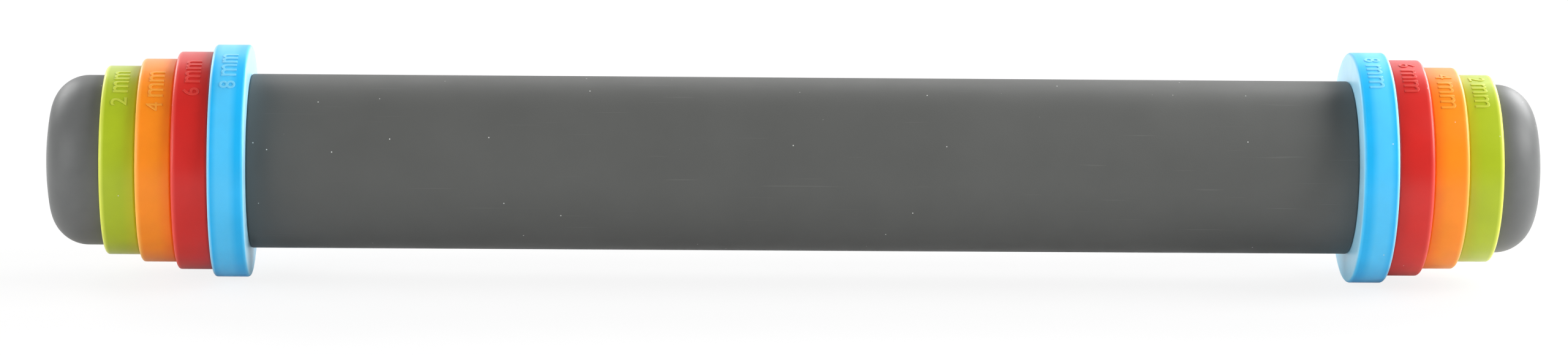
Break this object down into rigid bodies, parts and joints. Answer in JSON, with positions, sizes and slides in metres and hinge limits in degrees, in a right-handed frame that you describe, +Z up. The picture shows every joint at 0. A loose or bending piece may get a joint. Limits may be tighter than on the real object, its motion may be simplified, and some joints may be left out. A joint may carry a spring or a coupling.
{
  "type": "adjustable rolling pin",
  "caption": "Adjustable rolling pin: a silicone-covered roller with coloured spacer rings stacked at both ends that set the dough's thickness, held by domed push-fit end caps.",
  "frame": {"origin": "on the ground under the middle of the pin, where the largest rings stand", "axes": "+X along the pin towards its right end as the picture shows it, +Z up, -Y towards the viewer"},
  "size_m": [0.4128, 0.064, 0.064],
  "materials": {
    "silicone_grey": "matte silicone, fine satin",
    "plastic_grey": "satin moulded",
    "plastic_blue": "satin moulded, slightly translucent",
    "plastic_red": "satin moulded, slightly translucent",
    "plastic_orange": "satin moulded, slightly translucent",
    "plastic_green": "satin moulded, slightly translucent",
    "hub_plastic": "plain moulded",
    "tube_aluminium": "drawn tube",
    "seal_rubber": "matte",
    "screw_steel": "plain"
  },
  "bodies": {
    "roller": {"roller_sleeve": "silicone_grey", "core_tube": "tube_aluminium", "left_end_hub": "hub_plastic", "left_hub_seal": "seal_rubber", "left_hub_screws": "screw_steel", "right_end_hub": "hub_plastic", "right_hub_seal": "seal_rubber", "right_hub_screws": "screw_steel"},
    "left_ring_8mm": {"left_ring_8mm": "plastic_blue"},
    "left_ring_6mm": {"left_ring_6mm": "plastic_red"},
    "left_ring_4mm": {"left_ring_4mm": "plastic_orange"},
    "left_ring_2mm": {"left_ring_2mm": "plastic_green"},
    "left_cap": {"left_cap_shell": "plastic_grey", "left_cap_plug": "hub_plastic", "left_cap_grip_rings": "seal_rubber", "left_cap_screw": "screw_steel"},
    "right_ring_8mm": {"right_ring_8mm": "plastic_blue"},
    "right_ring_6mm": {"right_ring_6mm": "plastic_red"},
    "right_ring_4mm": {"right_ring_4mm": "plastic_orange"},
    "right_ring_2mm": {"right_ring_2mm": "plastic_green"},
    "right_cap": {"right_cap_shell": "plastic_grey", "right_cap_plug": "hub_plastic", "right_cap_grip_rings": "seal_rubber", "right_cap_screw": "screw_steel"}
  },
  "joints": [
    {"name": "left_ring_8mm_slide", "type": "slide", "parent": "roller", "child": "left_ring_8mm", "axis": [-1, 0, 0], "range_m": [0, 0.044]},
    {"name": "left_ring_6mm_slide", "type": "slide", "parent": "left_ring_8mm", "child": "left_ring_6mm", "axis": [-1, 0, 0], "range_m": [0, 0.0341]},
    {"name": "left_ring_4mm_slide", "type": "slide", "parent": "left_ring_6mm", "child": "left_ring_4mm", "axis": [-1, 0, 0], "range_m": [0, 0.0242]},
    {"name": "left_ring_2mm_slide", "type": "slide", "parent": "left_ring_4mm", "child": "left_ring_2mm", "axis": [-1, 0, 0], "range_m": [0, 0.0143]},
    {"name": "left_cap_slide", "type": "slide", "parent": "left_ring_2mm", "child": "left_cap", "axis": [-1, 0, 0], "range_m": [0, 0.0344]},
    {"name": "right_ring_8mm_slide", "type": "slide", "parent": "roller", "child": "right_ring_8mm", "axis": [1, 0, 0], "range_m": [0, 0.044]},
    {"name": "right_ring_6mm_slide", "type": "slide", "parent": "right_ring_8mm", "child": "right_ring_6mm", "axis": [1, 0, 0], "range_m": [0, 0.0341]},
    {"name": "right_ring_4mm_slide", "type": "slide", "parent": "right_ring_6mm", "child": "right_ring_4mm", "axis": [1, 0, 0], "range_m": [0, 0.0242]},
    {"name": "right_ring_2mm_slide", "type": "slide", "parent": "right_ring_4mm", "child": "right_ring_2mm", "axis": [1, 0, 0], "range_m": [0, 0.0143]},
    {"name": "right_cap_slide", "type": "slide", "parent": "right_ring_2mm", "child": "right_cap", "axis": [1, 0, 0], "range_m": [0, 0.0344]}
  ]
}
